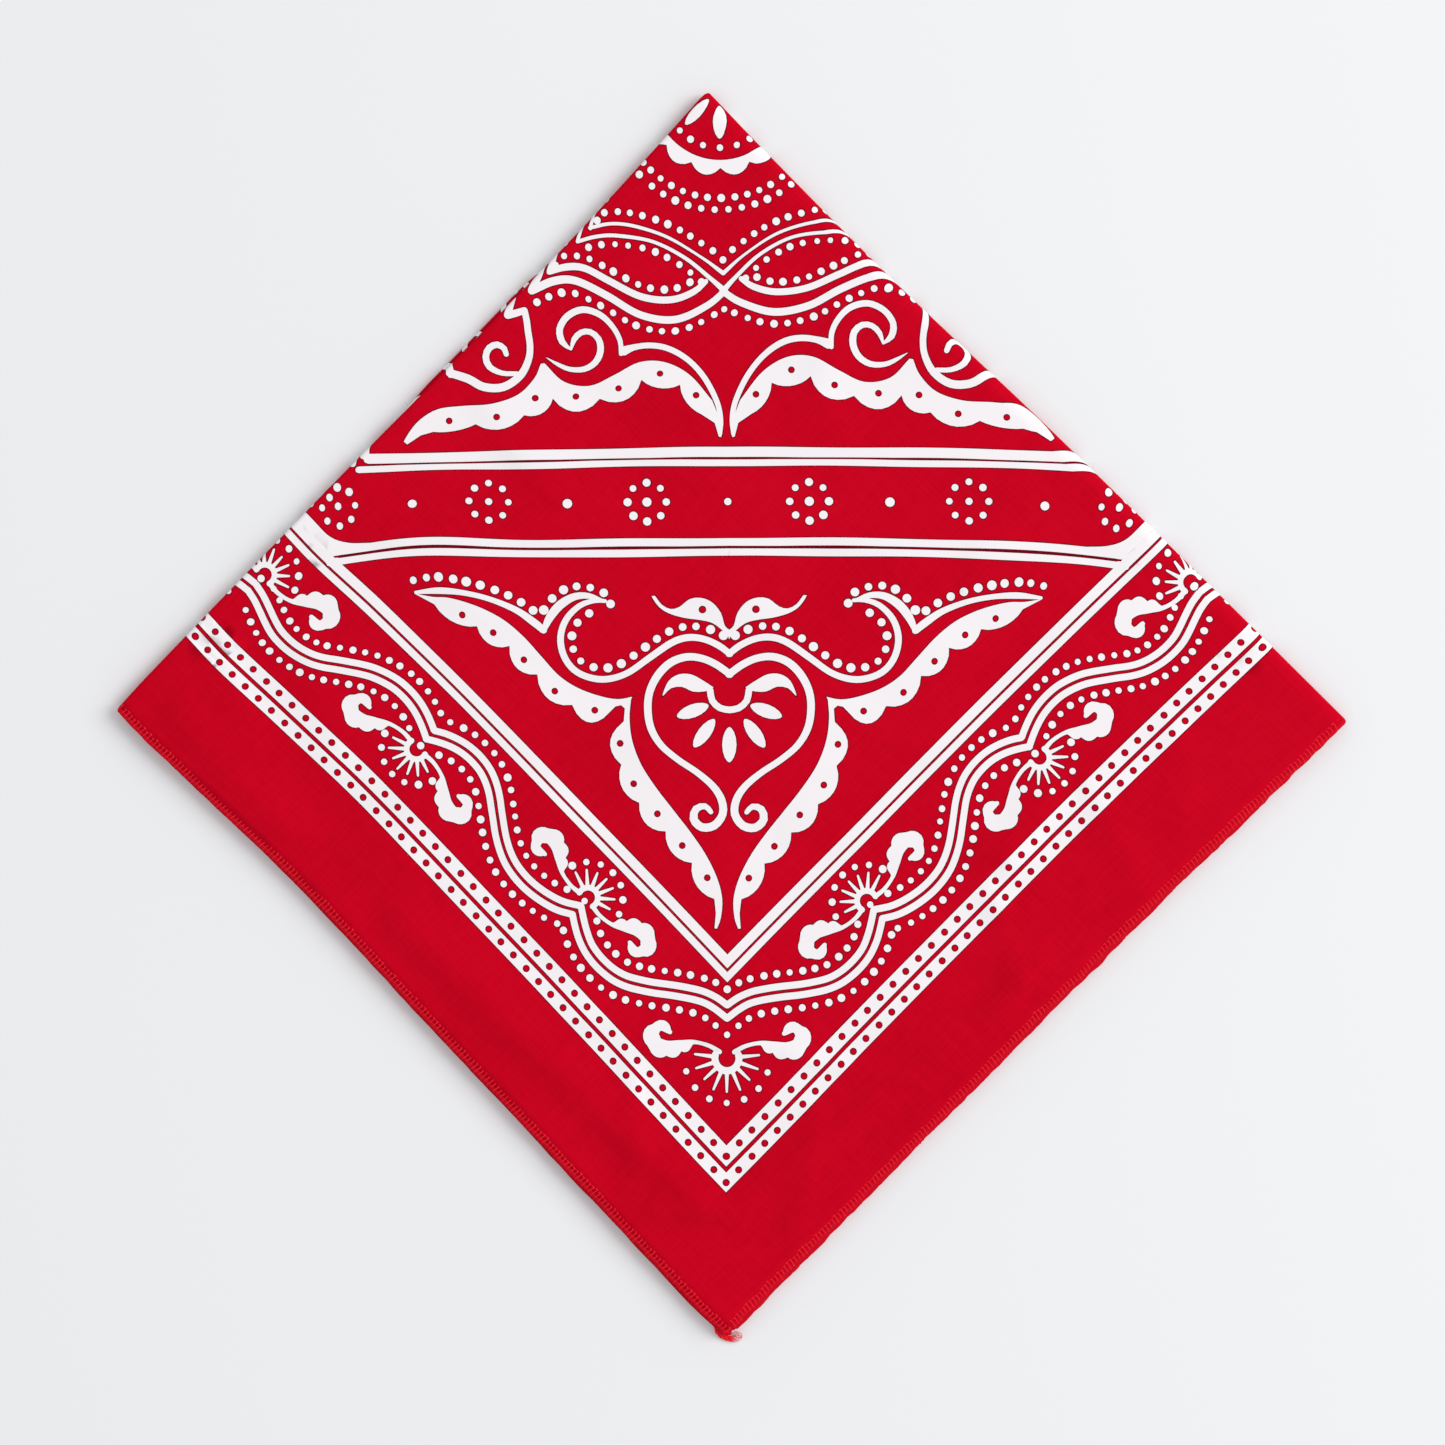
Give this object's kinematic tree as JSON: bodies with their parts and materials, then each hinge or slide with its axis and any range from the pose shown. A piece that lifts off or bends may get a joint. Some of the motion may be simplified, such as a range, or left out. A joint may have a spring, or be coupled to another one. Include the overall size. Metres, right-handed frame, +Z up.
{
  "type": "folded cotton bandana",
  "caption": "Square printed cotton bandana with a narrow overlocked hem, folded in half twice into a quarter-size square that lies flat.",
  "frame": {"origin": "the table, below the middle of the folded cloth's outline", "axes": "+Z up from the table, +Y from the open corner to the crown, where both folds meet, +X towards the end of the second fold"},
  "size_m": [0.387, 0.3924, 0.0056],
  "materials": {
    "printed_cotton": "matt plain-weave cotton, red with a white paisley print",
    "printed_cotton_inside": "the same cotton in the folds below the top layer",
    "overlocked_hem": "rolled edge wrapped in slightly glossy red thread"
  },
  "bodies": {
    "root": {"top_quarter": "printed_cotton", "hidden_layers": "printed_cotton_inside", "hem_left_upper": "overlocked_hem", "hem_left_lower": "overlocked_hem", "hem_right_outer": "overlocked_hem", "hem_right_inner": "overlocked_hem"}
  },
  "joints": []
}
